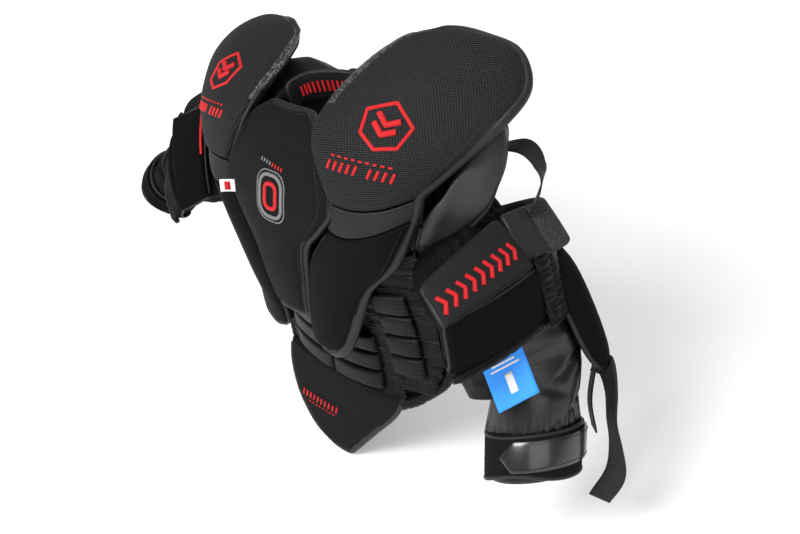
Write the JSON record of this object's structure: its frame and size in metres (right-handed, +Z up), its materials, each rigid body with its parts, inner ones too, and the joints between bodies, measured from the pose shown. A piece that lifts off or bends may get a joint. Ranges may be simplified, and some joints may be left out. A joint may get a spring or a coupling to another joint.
{
  "type": "lacrosse goalie chest and arm protector",
  "caption": "Black padded lacrosse goalie chest and arm protector with mesh shoulder caps, sewn belly pads, pointed belly flap, elbow guards and strapped sleeves, held up in its worn form.",
  "frame": {"origin": "centre of the neck opening, between the collar and the top of the chest pad", "axes": "+X to the wearer's left, -Y to the front, +Z up"},
  "size_m": [0.8561, 0.2138, 0.5731],
  "materials": {
    "mesh_knit": "matte",
    "plate_cloth": "matte",
    "slate_cloth": "satin",
    "nylon": "satin",
    "suede": "matte",
    "loop_pile": "matte",
    "leather": "gloss",
    "webbing": "matte",
    "blue_label": "satin",
    "white_tag": "satin"
  },
  "bodies": {
    "root": {"shoulder_cap_left": "mesh_knit", "cap_band_left": "slate_cloth", "chest_plate_left": "plate_cloth", "shoulder_yoke_left": "nylon", "shoulder_floater_left": "nylon", "belly_edge_left": "nylon", "belly_row_left_1": "nylon", "belly_row_left_2": "nylon", "belly_row_left_3": "nylon", "belly_side_left_1": "nylon", "belly_side_left_2": "nylon", "belly_side_left_3": "nylon", "belly_side_left_4": "nylon", "arm_sleeve_left": "nylon", "upper_arm_panel_left": "mesh_knit", "arm_band_left": "loop_pile", "elbow_block_left": "suede", "elbow_gather_left": "nylon", "elbow_wing_left": "suede", "wrist_cuff_left": "loop_pile", "wrist_strap_left": "leather", "shoulder_cap_right": "mesh_knit", "cap_band_right": "slate_cloth", "chest_plate_right": "plate_cloth", "shoulder_yoke_right": "nylon", "shoulder_floater_right": "nylon", "belly_edge_right": "nylon", "belly_row_right_1": "nylon", "belly_row_right_2": "nylon", "belly_row_right_3": "nylon", "belly_side_right_1": "nylon", "belly_side_right_2": "nylon", "belly_side_right_3": "nylon", "belly_side_right_4": "nylon", "arm_sleeve_right": "nylon", "upper_arm_panel_right": "mesh_knit", "arm_band_right": "loop_pile", "elbow_block_right": "suede", "elbow_gather_right": "nylon", "elbow_wing_right": "suede", "wrist_cuff_right": "loop_pile", "wrist_strap_right": "leather", "chest_base": "nylon", "sternum_pad": "mesh_knit", "neck_collar": "mesh_knit", "back_panel": "nylon", "belly_flap": "mesh_knit", "elbow_strap_left": "webbing", "keeper_strap_left": "webbing", "shoulder_loop_left": "webbing", "size_label": "blue_label", "side_tag": "white_tag"}
  },
  "joints": []
}
